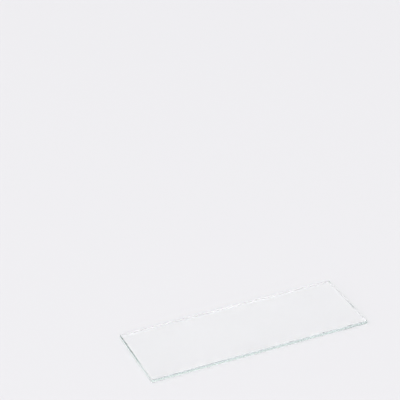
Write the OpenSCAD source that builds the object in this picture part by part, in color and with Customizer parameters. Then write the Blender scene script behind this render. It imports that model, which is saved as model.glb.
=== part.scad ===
// Microscope slide: a plain plate of clear glass, 3 by 1 inches, with unground edges.
// Every edge is made as a glass cutter makes it. One face is scored, the sheet is bent and it snaps:
// half of the score's groove is left along the top of the edge, the break runs straight down from it, and
// where it meets the underside it curls aside, as a lip on one edge and as a hollow on the edge opposite.
// The plate lies flat with its scored face up. X runs along it, Z is up, and the origin is the middle of
// the underside. The near edge is at -Y and the left end is at -X.

/* [Plate] */
// Length over both ends
slide_length = 76.2; // [75:0.1:77]
// Width over both long edges
slide_width = 25.4; // [25:0.1:26.5]
// Thickness of the sheet that the slide is cut from
slide_thickness = 1.1; // [0.9:0.05:1.3]

/* [Scored groove] */
// Depth of the half groove that scoring leaves along the top of each edge
score_depth = 0.05; // [0.03:0.01:0.16]
// Width of the half groove, across the top face
score_width = 0.02; // [0.01:0.01:0.08]

/* [Snapped face] */
// Height above the underside at which the break begins to curl
curl_height = 0.2; // [0.1:0.02:0.4]
// How far the lip stands out, and how far the hollow opposite goes in
curl_reach = 0.01; // [0.01:0.01:0.05]

/* [Chips] */
// Size of the shell-shaped chips along the edges, against the size that each one is given
chip_size = 1; // [0.5:0.1:1.5]
// Angle of a chip's bite, from 0 straight into the edge to 90 straight into the face
chip_tilt = 50; // [30:5:70]
// Depth of the small nicks at the corners
nick_depth = 0.16; // [0.08:0.02:0.24]
// Radius of the round hollow that a corner nick leaves
nick_radius = 0.6; // [0.4:0.05:1]

/* [Hidden] */
$fn = 64;
GLASS = [0.80, 0.92, 0.89, 0.5];
// How much longer than the plate each section is drawn, so that the two cut each other cleanly
OVERRUN = 2;

// Radius of the arc that leaves the snapped face upright and comes out curl_reach aside at the underside
curl_radius = (curl_height * curl_height + curl_reach * curl_reach) / (2 * curl_reach);

// Directions from the middle of the plate to its four sides
RIGHT = 0;
FAR = 90;
LEFT = 180;
NEAR = 270;

// Chips along the scored edges: side, place along it from the middle (to the right on the long edges, to the
// far side on the ends), length and depth
CHIPS = [
    [NEAR, 3.5, 0.7, 0.04],
    [NEAR, 10.0, 1.4, 0.07],
    [NEAR, 22.0, 1.6, 0.06],
    [NEAR, 24.5, 0.9, 0.07],
    [NEAR, 31.5, 2.0, 0.06],
    [NEAR, 35.5, 1.0, 0.05],
    [RIGHT, -8.5, 0.8, 0.06],
    [RIGHT, 6.5, 1.0, 0.05],
    [FAR, 32.0, 1.2, 0.06],
    [FAR, 26.5, 2.0, 0.08],
    [FAR, 13.0, 0.8, 0.05],
    [FAR, -14.0, 0.8, 0.07],
    [FAR, -21.0, 1.0, 0.07],
    [FAR, -30.5, 1.0, 0.05],
    [LEFT, 10.5, 1.6, 0.07],
    [LEFT, 7.5, 2.0, 0.08],
    [LEFT, 3.0, 1.6, 0.07],
    [LEFT, -1.0, 2.0, 0.06],
    [LEFT, -9.5, 1.2, 0.05]
];

// Chips along the foot of the break, given in the same way
FOOT_CHIPS = [
    [RIGHT, 12.2, 1.2, 0.14],
    [RIGHT, -2.5, 4.0, 0.11],
    [FAR, -14.0, 1.0, 0.07],
    [FAR, -21.0, 1.2, 0.07]
];

// Corners that are nicked: the side of each along X and along Y
NICKED_CORNERS = [[1, 1], [1, -1], [-1, -1]];

// Distance from the middle of the plate to the scored edge of the top face. A lip stands out past the near
// edge and past the left end, so the snapped face is set back by its reach on those two.
function top_edge(side) =
    side == RIGHT ? slide_length / 2 - score_width :
    side == LEFT ? slide_length / 2 - curl_reach - score_width :
    side == FAR ? slide_width / 2 - score_width :
    slide_width / 2 - curl_reach - score_width;

// Distance from the middle of the plate to the edge of the underside, which the hollow sets back
function foot_edge(side) =
    side == RIGHT ? slide_length / 2 - curl_reach :
    side == LEFT ? slide_length / 2 :
    side == FAR ? slide_width / 2 - curl_reach :
    slide_width / 2;

// Radius of the ball whose cap has this chord and this height
function cap_radius(chord, height) = (chord * chord / 4 + height * height) / (2 * height);

// Section through two opposite edges, span wide over all: the edge with the lip at -X, the one with the
// hollow at +X
module snapped_section(span) {
    outer = span / 2;
    lipped_face = curl_reach - outer;
    score_foot = slide_thickness - score_depth;
    difference() {
        polygon([
            [-outer, 0],
            [outer, 0],
            [outer, score_foot],
            [outer - score_width, slide_thickness],
            [lipped_face + score_width, slide_thickness],
            [lipped_face, score_foot],
            [lipped_face, curl_height],
            [-outer, curl_height]
        ]);
        translate([lipped_face - curl_radius, curl_height])
            circle(curl_radius);
        difference() {
            translate([outer - curl_reach, -curl_reach])
                square([2 * curl_reach, curl_height + curl_reach]);
            translate([outer - curl_radius, curl_height])
                circle(curl_radius);
        }
    }
}

// The whole plate: the section of the long edges along X, where it meets the section of the ends along Y
module snapped_plate() {
    intersection() {
        rotate([90, 0, 90])
            linear_extrude(slide_length + OVERRUN, center = true)
                snapped_section(slide_width);
        rotate([90, 0, 0])
            linear_extrude(slide_width + OVERRUN, center = true)
                snapped_section(slide_length);
    }
}

// Ball that takes a shell-shaped chip out of an edge, which is reach from the middle of the plate and
// edge_height up. A positive tilt bites from above and a negative one from below.
module shell_chip(chip, reach, edge_height, tilt) {
    side = chip[0];
    chord = chip[2] * chip_size;
    height = chip[3] * chip_size;
    ball_radius = cap_radius(chord, height);
    stand_off = ball_radius - height;
    sense = side == RIGHT || side == NEAR ? 1 : -1;
    rotate([0, 0, side])
        translate([
            reach + stand_off * cos(tilt),
            sense * chip[1],
            edge_height + stand_off * sin(tilt)
        ])
            sphere(ball_radius);
}

// Ball that takes a nick out of a top corner
module corner_nick(side_x, side_y) {
    corner_x = side_x > 0 ? top_edge(RIGHT) : top_edge(LEFT);
    corner_y = side_y > 0 ? top_edge(FAR) : top_edge(NEAR);
    stand_off = (nick_radius - nick_depth) / sqrt(3);
    translate([
        side_x * (corner_x + stand_off),
        side_y * (corner_y + stand_off),
        slide_thickness + stand_off
    ])
        sphere(nick_radius);
}

module glass_slide() {
    color(GLASS)
        difference() {
            snapped_plate();
            for (chip = CHIPS)
                shell_chip(chip, top_edge(chip[0]), slide_thickness, chip_tilt);
            for (chip = FOOT_CHIPS)
                shell_chip(chip, foot_edge(chip[0]), 0, -chip_tilt);
            for (corner = NICKED_CORNERS)
                corner_nick(corner[0], corner[1]);
        }
}

glass_slide();
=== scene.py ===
"""A microscope slide of clear glass, scored, snapped and left unground, lying on a pale studio floor."""

import math

import bmesh
import bpy
from mathutils import Matrix, Vector


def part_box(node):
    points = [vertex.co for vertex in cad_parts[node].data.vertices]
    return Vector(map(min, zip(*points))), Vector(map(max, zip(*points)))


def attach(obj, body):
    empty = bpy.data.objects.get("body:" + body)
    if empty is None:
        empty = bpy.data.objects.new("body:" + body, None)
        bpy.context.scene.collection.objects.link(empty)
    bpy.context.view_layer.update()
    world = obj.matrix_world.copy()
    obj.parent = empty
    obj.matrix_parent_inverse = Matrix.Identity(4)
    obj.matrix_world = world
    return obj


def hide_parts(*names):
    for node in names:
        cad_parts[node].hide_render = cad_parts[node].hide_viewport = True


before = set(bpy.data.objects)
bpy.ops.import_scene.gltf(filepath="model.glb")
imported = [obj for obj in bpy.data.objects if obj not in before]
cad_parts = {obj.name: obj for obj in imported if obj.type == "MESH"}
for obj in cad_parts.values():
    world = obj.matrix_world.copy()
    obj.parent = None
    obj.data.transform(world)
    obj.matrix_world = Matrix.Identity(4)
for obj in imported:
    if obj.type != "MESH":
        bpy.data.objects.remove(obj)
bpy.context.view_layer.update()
PLATE_LOW, PLATE_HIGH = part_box("glass_slide")
PLATE_SIZE = PLATE_HIGH - PLATE_LOW

bl_info = {
    "name": "Snapped Glass Slide",
    "version": (1, 0, 0),
    "blender": (4, 5, 0),
    "location": "View3D > Sidebar > Glass Slide",
    "description": "Makes a scored and snapped glass slide, and the pale studio that it lies in",
    "category": "Add Mesh",
}

MM = 0.001

# Sides of the plate, as the angle from +X of the direction that each one faces
RIGHT = 0
FAR = 90
LEFT = 180
NEAR = 270

# Chips along the scored edges: side, place along it from the middle, length and depth, in millimetres. A
# place is counted to the right on the long edges, and to the far side on the ends.
CHIPS = [
    (NEAR, 3.5, 0.7, 0.04),
    (NEAR, 10.0, 1.4, 0.07),
    (NEAR, 22.0, 1.6, 0.06),
    (NEAR, 24.5, 0.9, 0.07),
    (NEAR, 31.5, 2.0, 0.06),
    (NEAR, 35.5, 1.0, 0.05),
    (RIGHT, -8.5, 0.8, 0.06),
    (RIGHT, 6.5, 1.0, 0.05),
    (FAR, 32.0, 1.2, 0.06),
    (FAR, 26.5, 2.0, 0.08),
    (FAR, 13.0, 0.8, 0.05),
    (FAR, -14.0, 0.8, 0.07),
    (FAR, -21.0, 1.0, 0.07),
    (FAR, -30.5, 1.0, 0.05),
    (LEFT, 10.5, 1.6, 0.07),
    (LEFT, 7.5, 2.0, 0.08),
    (LEFT, 3.0, 1.6, 0.07),
    (LEFT, -1.0, 2.0, 0.06),
    (LEFT, -9.5, 1.2, 0.05),
]

# Chips along the foot of the break, given in the same way
FOOT_CHIPS = [
    (RIGHT, 12.2, 1.2, 0.14),
    (RIGHT, -2.5, 4.0, 0.11),
    (FAR, -14.0, 1.0, 0.07),
    (FAR, -21.0, 1.2, 0.07),
]

# Corners that are nicked: the side of each along X and along Y
NICKED_CORNERS = [(1, 1), (1, -1), (-1, -1)]

# A length, in millimetres, that covers any edge from end to end
WHOLE_EDGE = 80.0

# Stretches that scoring and snapping crushed: side, middle, length and depth in millimetres, and how much
# frost and how much white powder the stretch has. A depth is counted down from the score, and a negative
# one up from the foot.
CRUSHED = [
    (FAR, 26.4, 2.0, 0.30, 0.9, 0.0),
    (FAR, 32.0, 1.6, 0.30, 0.8, 0.0),
    (NEAR, 10.0, 1.6, 0.30, 0.5, 0.2),
    (NEAR, 23.0, 3.0, 0.30, 0.5, 0.2),
    (LEFT, 0.0, WHOLE_EDGE, -0.8, 0.3, 0.95),
    (LEFT, -9.5, 15.0, 2.0, 0.3, 0.6),
]


def link(name, data):
    """A new object in the scene."""
    thing = bpy.data.objects.new(name, data)
    bpy.context.scene.collection.objects.link(thing)
    return thing


# ---------------------------------------------------------------- node trees


class Wire:
    """A socket of a node tree. Arithmetic on it adds Math nodes to that tree."""

    def __init__(self, graph, socket):
        self.graph = graph
        self.socket = socket

    def __add__(self, other):
        return self.graph.math("ADD", self, other)

    def __radd__(self, other):
        return self.graph.math("ADD", other, self)

    def __sub__(self, other):
        return self.graph.math("SUBTRACT", self, other)

    def __rsub__(self, other):
        return self.graph.math("SUBTRACT", other, self)

    def __mul__(self, other):
        return self.graph.math("MULTIPLY", self, other)

    def __rmul__(self, other):
        return self.graph.math("MULTIPLY", other, self)

    def __truediv__(self, other):
        return self.graph.math("DIVIDE", self, other)

    def __rtruediv__(self, other):
        return self.graph.math("DIVIDE", other, self)

    def __abs__(self):
        return self.graph.math("ABSOLUTE", self)


class Graph:
    """Adds nodes to a node tree and links them up."""

    def __init__(self, tree):
        self.tree = tree

    def add(self, kind, settings=None, inputs=None, output=0):
        """One node: its settings first, then a value or a link for each input, by name or by number."""
        node = self.tree.nodes.new(kind)
        for name, value in (settings or {}).items():
            setattr(node, name, value)
        for name, value in (inputs or {}).items():
            socket = node.inputs[name]
            if isinstance(value, Wire):
                self.tree.links.new(value.socket, socket)
            else:
                socket.default_value = value
        return Wire(self, node.outputs[output])

    def math(self, operation, *values):
        return self.add("ShaderNodeMath", {"operation": operation}, dict(enumerate(values)))

    def vector_math(self, operation, *values, output=0):
        return self.add("ShaderNodeVectorMath", {"operation": operation}, dict(enumerate(values)), output)

    def ramp(self, value, low, high, start=0.0, end=1.0, smooth=False):
        """start below low, end above high, and an even or a smooth change between them."""
        kind = "SMOOTHSTEP" if smooth else "LINEAR"
        return self.add(
            "ShaderNodeMapRange",
            {"interpolation_type": kind},
            {"Value": value, "From Min": low, "From Max": high, "To Min": start, "To Max": end},
        )

    def combine(self, x, y, z):
        return self.add("ShaderNodeCombineXYZ", None, {"X": x, "Y": y, "Z": z})


class GeometryTree(Graph):
    """A Geometry Nodes tree with named inputs, whose first input and only output are geometry."""

    def __init__(self, name, sizes):
        tree = bpy.data.node_groups.new(name, "GeometryNodeTree")
        tree.is_modifier = True
        super().__init__(tree)
        face = tree.interface
        face.new_socket("Geometry", in_out="OUTPUT", socket_type="NodeSocketGeometry")
        face.new_socket("Geometry", in_out="INPUT", socket_type="NodeSocketGeometry")
        self.sizes = {}
        for label, (kind, value) in sizes.items():
            socket = face.new_socket(label, in_out="INPUT", socket_type=kind)
            self.sizes[socket.identifier] = value
        self.entry = tree.nodes.new("NodeGroupInput")
        self.exit = tree.nodes.new("NodeGroupOutput")

    def size(self, label):
        return Wire(self, self.entry.outputs[label])

    def finish(self, geometry, material):
        """Ends the tree: the instances made real, and the material set."""
        real = self.add("GeometryNodeRealizeInstances", None, {"Geometry": geometry})
        coated = self.add("GeometryNodeSetMaterial", None, {"Geometry": real, "Material": material})
        self.tree.links.new(coated.socket, self.exit.inputs[0])

    def run(self, source, name):
        """Puts the tree on an object, and gives back its result as an object with a plain mesh."""
        modifier = source.modifiers.new(name, "NODES")
        modifier.node_group = self.tree
        for identifier, value in self.sizes.items():
            modifier[identifier] = value
        graph = bpy.context.evaluated_depsgraph_get()
        mesh = bpy.data.meshes.new_from_object(source.evaluated_get(graph))
        source.modifiers.remove(modifier)
        bpy.data.objects.remove(source)
        mesh.name = name
        return link(name, mesh)


# ---------------------------------------------------------------- properties


def length_property(label, text, value):
    """A length in metres, shown in the scene's units."""
    return bpy.props.FloatProperty(
        name=label, description=text, default=value, min=0.0, precision=5, unit="LENGTH"
    )


class PlateSizes(bpy.types.PropertyGroup):
    """The plate, as it is cut from the sheet."""

    length: length_property("Length", "Length over both ends", PLATE_SIZE.x)
    width: length_property("Width", "Width over both long edges", PLATE_SIZE.y)
    thickness: length_property("Thickness", "Thickness of the sheet", PLATE_SIZE.z)


class EdgeSizes(bpy.types.PropertyGroup):
    """The scored and snapped edges."""

    score_depth: length_property("Score Depth", "Depth of the half groove that scoring leaves", 0.05 * MM)
    score_width: length_property("Score Width", "Width of the half groove, across the top", 0.02 * MM)
    rib_depth: length_property("Rib Depth", "How far down the ribbed zone reaches", 0.3 * MM)
    rib_share: bpy.props.FloatProperty(
        name="Rib Share",
        description="Strength of the ribbed zone away from the crushed stretches",
        default=0.12,
        min=0.0,
        max=1.0,
        subtype="FACTOR",
    )
    curl_height: length_property("Curl Height", "Height at which the break begins to curl", 0.2 * MM)
    curl_reach: length_property("Curl Reach", "How far the curl stands out, or goes in", 0.01 * MM)
    wave: length_property("Wave", "Depth of the slow waves of the snapped face", 0.012 * MM)
    hackle: length_property("Hackle", "Depth of the small steps under the score", 0.012 * MM)
    step: length_property("Step", "Spacing of the mesh along the edges", 0.127 * MM)


class ChipSizes(bpy.types.PropertyGroup):
    """The shell-shaped chips along the edges, and the nicks at the corners."""

    tilt: bpy.props.FloatProperty(
        name="Tilt",
        description="Angle of a chip's bite, from straight into the edge to straight down into the face",
        default=math.radians(50),
        subtype="ANGLE",
    )
    nick_depth: length_property("Nick Depth", "Depth of a nick at a corner", 0.16 * MM)
    nick_radius: length_property("Nick Radius", "Radius of the hollow that a nick leaves", 0.6 * MM)


class GlassLook(bpy.types.PropertyGroup):
    """The glass itself."""

    ior: bpy.props.FloatProperty(
        name="Refractive Index", description="Refractive index of the sheet glass", default=1.52, min=1.0
    )
    tint: bpy.props.FloatVectorProperty(
        name="Body Tint",
        description="Colour that a long path through the glass takes on",
        subtype="COLOR",
        size=3,
        default=(0.605, 0.79, 0.735),
        min=0.0,
        max=1.0,
    )
    absorption: bpy.props.FloatProperty(
        name="Absorption",
        description="How soon the tint shows along a path, for each metre",
        default=19.0,
        min=0.0,
    )
    frost: bpy.props.FloatProperty(
        name="Frost",
        description="Roughness of the glass where it is fully frosted",
        default=0.45,
        min=0.0,
        max=1.0,
        subtype="FACTOR",
    )
    powder: bpy.props.FloatVectorProperty(
        name="Powder",
        description="Colour of the crushed glass",
        subtype="COLOR",
        size=3,
        default=(0.93, 0.95, 0.95),
        min=0.0,
        max=1.0,
    )


class StageLook(bpy.types.PropertyGroup):
    """The floor, the light of the room and the lamps."""

    floor_colour: bpy.props.FloatVectorProperty(
        name="Floor",
        description="Colour of the floor",
        subtype="COLOR",
        size=3,
        default=(0.632, 0.627, 0.645),
        min=0.0,
        max=1.0,
    )
    wall_level: bpy.props.FloatProperty(
        name="Wall Level", description="Level of the light from the pale walls all round", default=0.82
    )
    ceiling_level: bpy.props.FloatProperty(
        name="Ceiling Level", description="Level of the light from high above", default=5.0
    )
    window_gain: bpy.props.FloatProperty(
        name="Window Gain",
        description="How much brighter the window side of the room is, and duller the side opposite",
        default=0.35,
    )
    panel_gain: bpy.props.FloatProperty(
        name="Panel Gain", description="How much brighter the pale panel behind the plate is", default=0.42
    )
    corner_shade: bpy.props.FloatProperty(
        name="Corner Shade", description="How much duller the far left corner of the room is", default=0.6
    )
    skylight_shade: bpy.props.FloatProperty(
        name="Skylight Shade", description="How much duller the very top of the ceiling is", default=3.8
    )
    soft_lamp: bpy.props.FloatProperty(
        name="Soft Lamp", description="Power of the large lamp at the front left", default=0.6, unit="POWER"
    )
    glint_lamp: bpy.props.FloatProperty(
        name="Glint Lamp",
        description="Power of the small lamp at the front right, which glints along the far edge",
        default=0.06,
        unit="POWER",
    )


# ---------------------------------------------------------------- materials


def new_material(name):
    """An empty node material: its graph and its output node."""
    material = bpy.data.materials.new(name)
    material.use_nodes = True
    material.node_tree.nodes.clear()
    graph = Graph(material.node_tree)
    output = material.node_tree.nodes.new("ShaderNodeOutputMaterial")
    return material, graph, output


# The grain of the frost and the powder: its scale, the noise levels between which it changes, and how much
# frost and powder its thin and its full specks have
GRAIN_SCALE = 6000.0
GRAIN_RANGE = (0.35, 0.6)
GRAIN_SHARES = (0.6, 1.0)
POWDER_ROUGHNESS = 0.9


def clear_glass(look):
    """Clear sheet glass with a sea-green body, frosted and powdered where its attributes say so."""
    material, graph, output = new_material("clear_glass")
    place = graph.add("ShaderNodeTexCoord", output="Object")
    frost = graph.add("ShaderNodeAttribute", {"attribute_name": "frost"}, output="Fac")
    powder = graph.add("ShaderNodeAttribute", {"attribute_name": "powder"}, output="Fac")
    grain = graph.add(
        "ShaderNodeTexNoise", None, {"Vector": place, "Scale": GRAIN_SCALE, "Detail": 2.0, "Roughness": 0.6}
    )
    grit = graph.ramp(grain, *GRAIN_RANGE, *GRAIN_SHARES)
    clear = graph.add(
        "ShaderNodeBsdfPrincipled",
        None,
        {
            "Base Color": (1.0, 1.0, 1.0, 1.0),
            "Roughness": frost * grit * look.frost,
            "IOR": look.ior,
            "Transmission Weight": 1.0,
        },
    )
    white = graph.add(
        "ShaderNodeBsdfPrincipled",
        None,
        {"Base Color": (*look.powder, 1.0), "Roughness": POWDER_ROUGHNESS, "IOR": look.ior},
    )
    surface = graph.add("ShaderNodeMixShader", None, {0: powder * grit, 1: clear, 2: white})
    body = graph.add(
        "ShaderNodeVolumeAbsorption", None, {"Color": (*look.tint, 1.0), "Density": look.absorption}
    )
    graph.tree.links.new(surface.socket, output.inputs["Surface"])
    graph.tree.links.new(body.socket, output.inputs["Volume"])
    return material


# The faint mottle of the floor: its scale, the noise levels between which it changes, and the roughness of
# its smooth and its dull spots
MOTTLE_SCALE = 3.0
MOTTLE_RANGE = (0.3, 0.7)
FLOOR_ROUGHNESS = (0.85, 0.95)
FLOOR_SHINE = 0.1


def plain_floor(look):
    """Smooth matt card."""
    material, graph, output = new_material("plain_floor")
    place = graph.add("ShaderNodeTexCoord", output="Object")
    mottle = graph.add("ShaderNodeTexNoise", None, {"Vector": place, "Scale": MOTTLE_SCALE, "Detail": 1.0})
    shader = graph.add(
        "ShaderNodeBsdfPrincipled",
        None,
        {
            "Base Color": (*look.floor_colour, 1.0),
            "Roughness": graph.ramp(mottle, *MOTTLE_RANGE, *FLOOR_ROUGHNESS),
            "Specular IOR Level": FLOOR_SHINE,
        },
    )
    graph.tree.links.new(shader.socket, output.inputs["Surface"])
    return material


# ---------------------------------------------------------------- the plate


def top_edge(side, plate, edge):
    """Distance from the middle of the plate to the scored edge of the top face, on one side."""
    span = plate.length if side in (RIGHT, LEFT) else plate.width
    set_back = edge.curl_reach if side in (LEFT, NEAR) else 0.0
    return span / 2 - set_back - edge.score_width


def foot_edge(side, plate, edge):
    """Distance from the middle of the plate to the edge of the underside, on one side."""
    span = plate.length if side in (RIGHT, LEFT) else plate.width
    set_back = edge.curl_reach if side in (RIGHT, FAR) else 0.0
    return span / 2 - set_back


def shell_bite(side, along, chord, height, reach, z, tilt):
    """The point on an edge that a chip is at, and the ball that takes it: its centre and its radius."""
    along, chord, height = along * MM, chord * MM, height * MM
    radius = (chord * chord / 4 + height * height) / (2 * height)
    turn = Matrix.Rotation(math.radians(side), 3, "Z")
    sense = 1 if side in (RIGHT, NEAR) else -1
    touch = Vector((reach, sense * along, z))
    lift = Vector((math.cos(tilt), 0, math.sin(tilt))) * (radius - height)
    return turn @ touch, turn @ (touch + lift), radius


def bite_points(plate, edge, chips):
    """A mesh with a point on the edge at each chip and nick, which carries the ball that bites there."""
    bites = []
    for side, along, chord, height in CHIPS:
        reach = top_edge(side, plate, edge)
        bites.append(shell_bite(side, along, chord, height, reach, plate.thickness, chips.tilt))
    for side, along, chord, height in FOOT_CHIPS:
        reach = foot_edge(side, plate, edge)
        bites.append(shell_bite(side, along, chord, height, reach, 0.0, -chips.tilt))
    for side_x, side_y in NICKED_CORNERS:
        reach_x = top_edge(RIGHT if side_x > 0 else LEFT, plate, edge)
        reach_y = top_edge(FAR if side_y > 0 else NEAR, plate, edge)
        touch = Vector((side_x * reach_x, side_y * reach_y, plate.thickness))
        lift = Vector((side_x, side_y, 1)).normalized() * (chips.nick_radius - chips.nick_depth)
        bites.append((touch, touch + lift, chips.nick_radius))
    mesh = bpy.data.meshes.new("bites")
    mesh.from_pydata([touch for touch, _, _ in bites], [], [])
    centres = mesh.attributes.new("ball_centre", "FLOAT_VECTOR", "POINT")
    centres.data.foreach_set("vector", [value for _, centre, _ in bites for value in centre])
    radii = mesh.attributes.new("ball_radius", "FLOAT", "POINT")
    radii.data.foreach_set("value", [radius for _, _, radius in bites])
    return link("bites", mesh)


# Rows of the mesh, from the middle of the top face out over the edge and in to the middle of the underside
FIELD_ROWS = 3
RIM_ROWS = 6
SCORE_ROWS = 2
FACE_ROWS = 8
CURL_ROWS = 5
# Width of the rim of each face that the rim's rows share, and how close points are merged
RIM_WIDTH = 0.3 * MM
WELD = 0.0002 * MM
# How close to -1 or 1 a column counts as standing on that side of the outline
ON_SIDE = 0.0001
# Share of a crushed stretch's depth, and of half its length, over which it is at its full strength
FULL_DEPTH = 0.35
FULL_LENGTH = 0.7
# Scales of the noise behind the slow waves and behind the small steps
WAVE_SCALE = 260.0
STEP_SCALE = 4200.0
SEED = 7
# A fold of the mesh that is sharper than this stays crisp
CRISP_FOLD = math.radians(20)


def crushed_zone(tree, distance, reach, full_share):
    """1 where the crushing starts, and 0 at its full reach."""
    return tree.ramp(distance, reach * full_share, reach, 1.0, 0.0, smooth=True)


def bite_value(tree, bites, index, name, kind):
    """What the bite with that index stores under that name."""
    stored = tree.add("GeometryNodeInputNamedAttribute", {"data_type": kind}, {"Name": name})
    return tree.add(
        "GeometryNodeSampleIndex", {"data_type": kind}, {"Geometry": bites, "Value": stored, "Index": index}
    )


def plate_tree(plate, edge, material):
    """The plate, as a grid wrapped round it: columns along the outline, and rows along the section."""
    count = "NodeSocketInt"
    number = "NodeSocketFloat"
    tree = GeometryTree(
        "snapped_plate",
        {
            "Length": (number, plate.length),
            "Width": (number, plate.width),
            "Thickness": (number, plate.thickness),
            "Score Depth": (number, edge.score_depth),
            "Score Width": (number, edge.score_width),
            "Rib Depth": (number, edge.rib_depth),
            "Curl Height": (number, edge.curl_height),
            "Curl Reach": (number, edge.curl_reach),
            "Wave": (number, edge.wave),
            "Hackle": (number, edge.hackle),
            "Rib Share": (number, edge.rib_share),
            "Long Columns": (count, round(plate.length / edge.step)),
            "End Columns": (count, round(plate.width / edge.step)),
            "Seed": (count, SEED),
        },
    )
    length, width, thickness = tree.size("Length"), tree.size("Width"), tree.size("Thickness")
    long_columns, end_columns = tree.size("Long Columns"), tree.size("End Columns")
    row_marks = [0]
    for rows in (FIELD_ROWS, RIM_ROWS, SCORE_ROWS, FACE_ROWS, CURL_ROWS, RIM_ROWS, FIELD_ROWS):
        row_marks.append(row_marks[-1] + rows)
    middle, rim, arris, foot, curl, under, under_rim, under_middle = row_marks
    row_count = under_middle + 1
    around = 2.0 * (long_columns + end_columns)
    grid = tree.add("GeometryNodeMeshGrid", None, {"Vertices X": around + 1.0, "Vertices Y": row_count})
    index = tree.add("GeometryNodeInputIndex")
    column = tree.math("FLOOR", (index + 0.5) / float(row_count))
    row = index - column * float(row_count)

    # Where a column stands on the outline, from -1 to 1 along X and along Y
    right_end = long_columns + end_columns
    far_end = 2.0 * long_columns + end_columns
    there_x = tree.ramp(column, 0.0, long_columns, -1.0, 1.0)
    back_x = tree.ramp(column, right_end, far_end, 0.0, 2.0)
    across_x = there_x - back_x
    there_y = tree.ramp(column, long_columns, right_end, -1.0, 1.0)
    back_y = tree.ramp(column, far_end, around, 0.0, 2.0)
    across_y = there_y - back_y

    # How far a row is set in from the outline, on the sides with a lip and on the sides with a hollow
    reach, height = tree.size("Curl Reach"), tree.size("Curl Height")
    radius = (height * height + reach * reach) / (2.0 * reach)
    turn = tree.math("ARCSINE", height / radius)
    swing = tree.ramp(row, curl, under, 0.0, 1.0) * turn
    curled = radius * (1.0 - tree.math("COSINE", swing))
    bevel = tree.size("Score Width") * tree.ramp(row, arris, foot, 1.0, 0.0)
    rim_in = RIM_WIDTH * (tree.ramp(row, rim, arris, 1.0, 0.0) + tree.ramp(row, under, under_rim))
    field = width / 2.0 - RIM_WIDTH
    field_share = tree.ramp(row, middle, rim, 1.0, 0.0) + tree.ramp(row, under_rim, under_middle)
    lipped = reach - curled + bevel
    hollowed = curled + bevel
    inset_lip = lipped + rim_in + field_share * (field - lipped)
    inset_hollow = hollowed + rim_in + field_share * (field - hollowed)
    score_foot = thickness - tree.size("Score Depth")
    z = (
        tree.ramp(row, arris, foot, thickness, score_foot)
        - tree.ramp(row, foot, curl, 0.0, 1.0) * (score_foot - height)
        - radius * tree.math("SINE", swing)
    )
    x = tree.ramp(across_x, -1.0, 1.0, inset_lip - length / 2.0, length / 2.0 - inset_hollow)
    y = tree.ramp(across_y, -1.0, 1.0, inset_lip - width / 2.0, width / 2.0 - inset_hollow)
    smooth_plate = tree.combine(x, y, z)

    # The frost is faint in the ribbed zone under the score, and strong where the glass was crushed. White
    # powder lies only on crushed glass.
    at_end = tree.math("COMPARE", abs(across_x), 1.0, ON_SIDE)
    at_side = tree.math("COMPARE", abs(across_y), 1.0, ON_SIDE)
    on_side = {
        RIGHT: at_end * tree.math("GREATER_THAN", across_x, 0.0),
        LEFT: at_end * tree.math("LESS_THAN", across_x, 0.0),
        FAR: at_side * tree.math("GREATER_THAN", across_y, 0.0),
        NEAR: at_side * tree.math("LESS_THAN", across_y, 0.0),
    }
    on_edge = tree.ramp(row, arris - 1.0, arris) * tree.ramp(row, under, under + 1.0, 1.0, 0.0)
    frost = tree.size("Rib Share") * crushed_zone(tree, thickness - z, tree.size("Rib Depth"), FULL_DEPTH)
    powder = 0.0
    for side, along, span, depth, frost_share, powder_share in CRUSHED:
        place = y if side in (RIGHT, LEFT) else x
        off = abs(place - along * MM)
        in_length = on_side[side] * crushed_zone(tree, off, span * MM / 2, FULL_LENGTH)
        from_start = z if depth < 0 else thickness - z
        zone = in_length * crushed_zone(tree, from_start, abs(depth) * MM, FULL_DEPTH)
        frost = tree.math("MAXIMUM", frost, zone * frost_share)
        powder = tree.math("MAXIMUM", powder, zone * powder_share)
    frost = frost * on_edge
    powder = powder * on_edge

    # Slow waves of the snapped face and small steps under the score, always inwards
    seed = tree.combine(tree.size("Seed") * 1.0, 0.0, 0.0)
    wave_place = tree.vector_math("ADD", smooth_plate, seed)
    waves = tree.add("ShaderNodeTexNoise", None, {"Vector": wave_place, "Scale": WAVE_SCALE, "Detail": 1.0})
    steps = tree.add("ShaderNodeTexNoise", None, {"Vector": wave_place, "Scale": STEP_SCALE, "Detail": 2.0})
    dent = on_edge * tree.size("Wave") * waves + tree.size("Hackle") * steps * frost
    push_x = (on_side[LEFT] - on_side[RIGHT]) * dent
    push_y = (on_side[NEAR] - on_side[FAR]) * dent
    push = tree.combine(push_x, push_y, 0.0)
    rough_plate = tree.vector_math("ADD", smooth_plate, push)

    # The nearest bite: a point inside its ball goes out to the ball's skin
    bites = tree.size("Geometry")
    nearest = tree.add(
        "GeometryNodeSampleNearest", None, {"Geometry": bites, "Sample Position": rough_plate}
    )
    centre = bite_value(tree, bites, nearest, "ball_centre", "FLOAT_VECTOR")
    ball = bite_value(tree, bites, nearest, "ball_radius", "FLOAT")
    arm = tree.vector_math("SUBTRACT", rough_plate, centre)
    far_off = tree.vector_math("LENGTH", arm, output="Value")
    growth = tree.math("MAXIMUM", ball / far_off, 1.0)
    grown = tree.add("ShaderNodeVectorMath", {"operation": "SCALE"}, {"Vector": arm, "Scale": growth})
    bitten = tree.vector_math("ADD", centre, grown)

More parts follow.
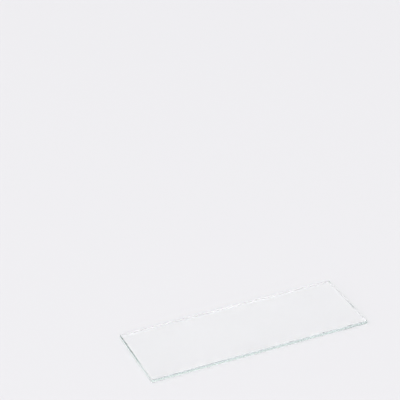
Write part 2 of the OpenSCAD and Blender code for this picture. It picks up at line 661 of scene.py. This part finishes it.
    shaped = tree.add("GeometryNodeSetPosition", None, {"Geometry": grid, "Position": bitten})
    for name, value in (("frost", frost), ("powder", powder)):
        shaped = tree.add(
            "GeometryNodeStoreNamedAttribute",
            {"data_type": "FLOAT", "domain": "POINT"},
            {"Geometry": shaped, "Name": name, "Value": value},
        )
    closed = tree.add("GeometryNodeMergeByDistance", None, {"Geometry": shaped, "Distance": WELD})
    smooth = tree.add("GeometryNodeSetShadeSmooth", {"domain": "FACE"}, {"Geometry": closed})
    fold = tree.add("GeometryNodeInputMeshEdgeAngle", output="Unsigned Angle")
    sharp = tree.add(
        "FunctionNodeCompare",
        {"data_type": "FLOAT", "operation": "GREATER_THAN"},
        {"A": fold, "B": CRISP_FOLD},
    )
    crisp = tree.add(
        "GeometryNodeSetShadeSmooth",
        {"domain": "EDGE"},
        {"Geometry": smooth, "Selection": sharp, "Shade Smooth": False},
    )
    tree.finish(crisp, material)
    return tree


def outward(piece):
    """Turns every face of a closed piece outwards."""
    mesh = bmesh.new()
    mesh.from_mesh(piece.data)
    bmesh.ops.recalc_face_normals(mesh, faces=mesh.faces)
    mesh.to_mesh(piece.data)
    mesh.free()


class SLIDE_OT_cut_plate(bpy.types.Operator):
    """Cut the glass plate, with its scored, snapped and chipped edges"""

    bl_idname = "slide.cut_plate"
    bl_label = "Cut Plate"

    def execute(self, context):
        scene = context.scene
        plate, edge = scene.slide_plate, scene.slide_edge
        glass = clear_glass(scene.slide_glass)
        tree = plate_tree(plate, edge, glass)
        piece = tree.run(bite_points(plate, edge, scene.slide_chips), "snapped_plate")
        outward(piece)
        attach(piece, "root")
        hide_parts("glass_slide")
        return {"FINISHED"}


# ---------------------------------------------------------------- the stage

# The camera: the way to it and how it is rolled, how far it is from the point that it faces, and its lens
CAMERA_AZIMUTH = math.radians(-25.48)
CAMERA_ELEVATION = math.radians(30.80)
CAMERA_ROLL = math.radians(0.89)
CAMERA_DISTANCE = 530.8 * MM
CAMERA_AIM = Vector((21.5 * MM, 80.1 * MM, 0.0))
CAMERA_LENS = 128.85
CAMERA_CLIP = 0.01
FLOOR_SIZE = 6.0
FLOOR_GAP = 0.02 * MM
# The lamps: how far off both are, and the way to each from the plate, how wide it is and how tall
LAMP_DISTANCE = 0.9
SOFT_LAMP = (math.radians(-57), math.radians(45), 0.8, 0.8)
GLINT_LAMP = (math.radians(27.8), math.radians(34.8), 0.085, 0.15)
# The middle of the stretch of the far edge that the small lamp glints along
GLINT_PLACE = Vector((17.0 * MM, PLATE_HIGH.y, PLATE_HIGH.z))
# Bounces of light, for the many times that it turns back inside an edge
BOUNCES = 64
# Sine of the elevation at which the walls end and the ceiling begins
WALL_TOP = 0.82
# The side of the room that the windows are on, and the sines of the elevations between which they begin
WINDOW_AZIMUTH = math.radians(-80)
WINDOW_FOOT = (0.1, 0.45)
# Spots of the room: the pale panel behind the plate, the duller corner and the duller top of the ceiling.
# Each has the way to its middle, as two angles, and the cosine of the angle from it at which the spot ends.
PANEL = (math.radians(154), math.radians(31), 0.96)
CORNER = (math.radians(205), math.radians(30), 0.93)
SKYLIGHT = (0.0, math.radians(90), 0.95)


def direction(azimuth, elevation):
    """The unit vector that points from the plate towards a camera, a lamp or a part of the room."""
    flat = math.cos(elevation)
    return Vector((math.sin(azimuth) * flat, -math.cos(azimuth) * flat, math.sin(elevation)))


def aimed(place, target):
    """Placed there, with its back to the way it looks."""
    turn = (place - target).to_track_quat("Z", "Y")
    return Matrix.Translation(place) @ turn.to_matrix().to_4x4()


def add_floor(look):
    """A wide floor, a hair's breadth under the plate."""
    mesh = bpy.data.meshes.new("floor")
    half = FLOOR_SIZE / 2
    corners = [(-half, -half), (half, -half), (half, half), (-half, half)]
    mesh.from_pydata([(x, y, PLATE_LOW.z - FLOOR_GAP) for x, y in corners], [], [(0, 1, 2, 3)])
    mesh.materials.append(plain_floor(look))
    link("floor", mesh)


def add_lamp(name, layout, target, power):
    """An area lamp that faces the target, and that the camera doesn't see."""
    azimuth, elevation, width, height = layout
    lamp = bpy.data.lights.new(name, "AREA")
    lamp.energy = power
    lamp.shape = "RECTANGLE"
    lamp.size = width
    lamp.size_y = height
    thing = link(name, lamp)
    thing.matrix_world = aimed(target + direction(azimuth, elevation) * LAMP_DISTANCE, target)
    thing.visible_camera = False


def towards(graph, way, azimuth, elevation):
    """Cosine of the angle between a ray's way and the way to a part of the room."""
    return graph.vector_math("DOT_PRODUCT", way, tuple(direction(azimuth, elevation)), output="Value")


def add_surround(look):
    """A pale room: even walls, a bright ceiling, windows on one side, and brighter and duller spots."""
    world = bpy.data.worlds.new("surround")
    world.use_nodes = True
    graph = Graph(world.node_tree)
    way = graph.add("ShaderNodeTexCoord", output="Generated")
    rise = graph.add("ShaderNodeSeparateXYZ", None, {"Vector": way}, output="Z")
    walls = graph.ramp(rise, WALL_TOP, 1.0, look.wall_level, look.ceiling_level, smooth=True)
    windows = towards(graph, way, WINDOW_AZIMUTH, 0.0) * graph.ramp(rise, *WINDOW_FOOT, smooth=True)
    level = walls + windows * look.window_gain
    spots = ((PANEL, look.panel_gain), (CORNER, -look.corner_shade), (SKYLIGHT, -look.skylight_shade))
    for (azimuth, elevation, spread), gain in spots:
        nearness = towards(graph, way, azimuth, elevation)
        level = level + graph.ramp(nearness, spread, 1.0, 0.0, gain, smooth=True)
    background = world.node_tree.nodes["Background"]
    background.inputs["Color"].default_value = (1.0, 1.0, 1.0, 1.0)
    world.node_tree.links.new(level.socket, background.inputs["Strength"])
    bpy.context.scene.world = world


def add_camera():
    camera = bpy.data.cameras.new("camera")
    camera.lens = CAMERA_LENS
    camera.clip_start = CAMERA_CLIP
    thing = link("camera", camera)
    place = CAMERA_AIM + direction(CAMERA_AZIMUTH, CAMERA_ELEVATION) * CAMERA_DISTANCE
    thing.matrix_world = aimed(place, CAMERA_AIM) @ Matrix.Rotation(CAMERA_ROLL, 4, "Z")
    bpy.context.scene.camera = thing


class SLIDE_OT_set_stage(bpy.types.Operator):
    """Set the floor, the lamps, the light of the room and the camera"""

    bl_idname = "slide.set_stage"
    bl_label = "Set Stage"

    def execute(self, context):
        scene = context.scene
        look = scene.slide_stage
        add_floor(look)
        add_lamp("soft_lamp", SOFT_LAMP, Vector(), look.soft_lamp)
        add_lamp("glint_lamp", GLINT_LAMP, GLINT_PLACE, look.glint_lamp)
        add_surround(look)
        add_camera()
        scene.view_settings.view_transform = "Standard"
        scene.cycles.max_bounces = BOUNCES
        scene.cycles.glossy_bounces = BOUNCES
        scene.cycles.transmission_bounces = BOUNCES
        scene.cycles.blur_glossy = 0.0
        return {"FINISHED"}


class SLIDE_PT_panel(bpy.types.Panel):
    """Sizes and looks of the glass slide"""

    bl_idname = "SLIDE_PT_panel"
    bl_label = "Glass Slide"
    bl_space_type = "VIEW_3D"
    bl_region_type = "UI"
    bl_category = "Glass Slide"

    def draw(self, context):
        for name in PROPERTY_GROUPS:
            box = self.layout.box()
            group = getattr(context.scene, name)
            for field in group.__annotations__:
                box.prop(group, field)
        self.layout.operator("slide.cut_plate")
        self.layout.operator("slide.set_stage")


PROPERTY_GROUPS = {
    "slide_plate": PlateSizes,
    "slide_edge": EdgeSizes,
    "slide_chips": ChipSizes,
    "slide_glass": GlassLook,
    "slide_stage": StageLook,
}
OPERATORS = (SLIDE_OT_cut_plate, SLIDE_OT_set_stage)


def register():
    for name, group in PROPERTY_GROUPS.items():
        bpy.utils.register_class(group)
        setattr(bpy.types.Scene, name, bpy.props.PointerProperty(type=group))
    for operator in OPERATORS:
        bpy.utils.register_class(operator)
    bpy.utils.register_class(SLIDE_PT_panel)


def unregister():
    bpy.utils.unregister_class(SLIDE_PT_panel)
    for operator in reversed(OPERATORS):
        bpy.utils.unregister_class(operator)
    for name, group in reversed(PROPERTY_GROUPS.items()):
        delattr(bpy.types.Scene, name)
        bpy.utils.unregister_class(group)


def main():
    register()
    bpy.ops.slide.cut_plate()
    bpy.ops.slide.set_stage()


if __name__ == "__main__":
    main()
